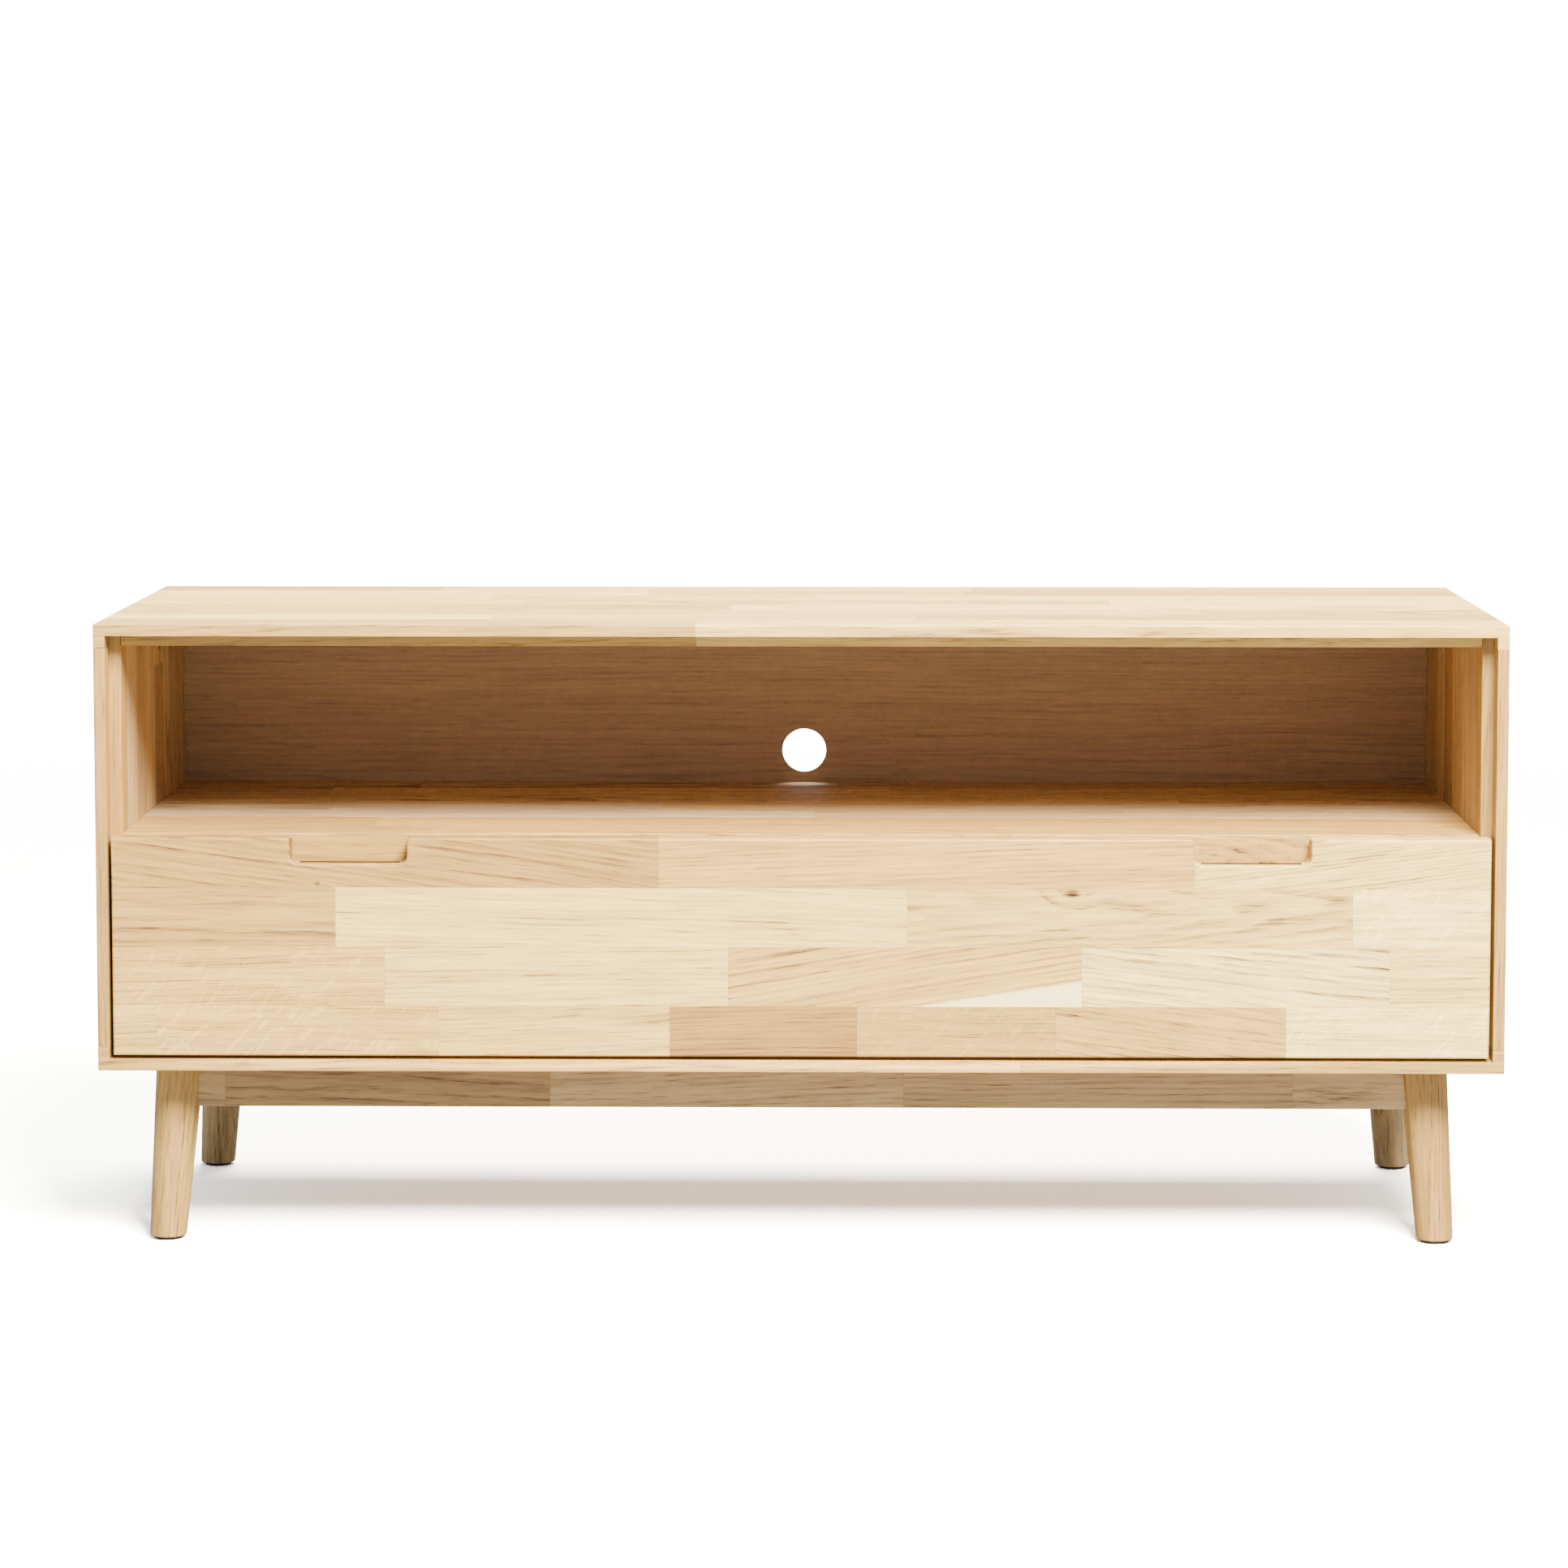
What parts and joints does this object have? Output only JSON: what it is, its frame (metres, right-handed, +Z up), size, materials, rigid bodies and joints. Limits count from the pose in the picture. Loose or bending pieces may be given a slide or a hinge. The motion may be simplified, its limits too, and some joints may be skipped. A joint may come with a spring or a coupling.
{
  "type": "low television bench with one wide drawer",
  "caption": "Low solid-oak television bench on splayed legs: an open niche with a cable hole above one wide drawer with finger notches, on ball-bearing runners.",
  "frame": {"origin": "on the floor, under the middle of the carcass", "axes": "+X to the right along the bench's width, -Y out of the front, +Z up"},
  "size_m": [1.18, 0.4, 0.53],
  "materials": {
    "oiled_oak": "pale edge-glued solid oak staves, matt white-tinted oil",
    "oak_veneer": "sliced oak veneer on a thin board, matt oil",
    "birch_plywood": "clear-lacquered birch plywood",
    "zinc_plated_steel": "bright zinc plating",
    "black_polyamide": "moulded, matt"
  },
  "bodies": {
    "cabinet": {"top_panel": "oiled_oak", "bottom_panel": "oiled_oak", "left_side_panel": "oiled_oak", "right_side_panel": "oiled_oak", "shelf": "oiled_oak", "front_apron": "oiled_oak", "rear_apron": "oiled_oak", "left_apron": "oiled_oak", "right_apron": "oiled_oak", "front_left_leg": "oiled_oak", "front_right_leg": "oiled_oak", "rear_left_leg": "oiled_oak", "rear_right_leg": "oiled_oak", "front_left_corner_block": "oiled_oak", "front_right_corner_block": "oiled_oak", "rear_left_corner_block": "oiled_oak", "rear_right_corner_block": "oiled_oak", "back_panel": "oak_veneer", "front_left_block_screw": "zinc_plated_steel", "front_right_block_screw": "zinc_plated_steel", "rear_left_block_screw": "zinc_plated_steel", "rear_right_block_screw": "zinc_plated_steel", "left_cabinet_screw_front": "zinc_plated_steel", "left_cabinet_screw_rear": "zinc_plated_steel", "right_cabinet_screw_front": "zinc_plated_steel", "right_cabinet_screw_rear": "zinc_plated_steel", "left_runner_cabinet_member": "zinc_plated_steel", "right_runner_cabinet_member": "zinc_plated_steel", "front_left_glide": "black_polyamide", "front_right_glide": "black_polyamide", "rear_left_glide": "black_polyamide", "rear_right_glide": "black_polyamide"},
    "drawer": {"drawer_front": "oiled_oak", "drawer_box_front": "birch_plywood", "drawer_box_back": "birch_plywood", "drawer_left_side": "birch_plywood", "drawer_right_side": "birch_plywood", "drawer_bottom": "birch_plywood", "drawer_front_screw_lower_left": "zinc_plated_steel", "drawer_front_screw_upper_left": "zinc_plated_steel", "drawer_front_screw_lower_right": "zinc_plated_steel", "drawer_front_screw_upper_right": "zinc_plated_steel", "left_drawer_screw_front": "zinc_plated_steel", "left_drawer_screw_rear": "zinc_plated_steel", "right_drawer_screw_front": "zinc_plated_steel", "right_drawer_screw_rear": "zinc_plated_steel", "left_runner_drawer_member": "zinc_plated_steel", "right_runner_drawer_member": "zinc_plated_steel"},
    "left_runner_middle": {"left_runner_middle_member": "zinc_plated_steel"},
    "left_outer_cage": {"left_outer_ball_cage": "zinc_plated_steel"},
    "left_inner_cage": {"left_inner_ball_cage": "zinc_plated_steel"},
    "right_runner_middle": {"right_runner_middle_member": "zinc_plated_steel"},
    "right_outer_cage": {"right_outer_ball_cage": "zinc_plated_steel"},
    "right_inner_cage": {"right_inner_ball_cage": "zinc_plated_steel"}
  },
  "joints": [
    {"name": "drawer_slide", "type": "slide", "parent": "cabinet", "child": "drawer", "axis": [0, -1, 0], "range_m": [0, 0.34]},
    {"name": "left_runner_middle_slide", "type": "slide", "parent": "cabinet", "child": "left_runner_middle", "axis": [0, -1, 0], "range_m": [0, 0.17]},
    {"name": "left_outer_cage_slide", "type": "slide", "parent": "cabinet", "child": "left_outer_cage", "axis": [0, -1, 0], "range_m": [0, 0.085]},
    {"name": "left_inner_cage_slide", "type": "slide", "parent": "cabinet", "child": "left_inner_cage", "axis": [0, -1, 0], "range_m": [0, 0.255]},
    {"name": "right_runner_middle_slide", "type": "slide", "parent": "cabinet", "child": "right_runner_middle", "axis": [0, -1, 0], "range_m": [0, 0.17]},
    {"name": "right_outer_cage_slide", "type": "slide", "parent": "cabinet", "child": "right_outer_cage", "axis": [0, -1, 0], "range_m": [0, 0.085]},
    {"name": "right_inner_cage_slide", "type": "slide", "parent": "cabinet", "child": "right_inner_cage", "axis": [0, -1, 0], "range_m": [0, 0.255]}
  ],
  "couplings": [
    {"joint": "left_runner_middle_slide", "follows": "drawer_slide", "ratio": 0.5},
    {"joint": "left_outer_cage_slide", "follows": "drawer_slide", "ratio": 0.25},
    {"joint": "left_inner_cage_slide", "follows": "drawer_slide", "ratio": 0.75},
    {"joint": "right_runner_middle_slide", "follows": "drawer_slide", "ratio": 0.5},
    {"joint": "right_outer_cage_slide", "follows": "drawer_slide", "ratio": 0.25},
    {"joint": "right_inner_cage_slide", "follows": "drawer_slide", "ratio": 0.75}
  ]
}
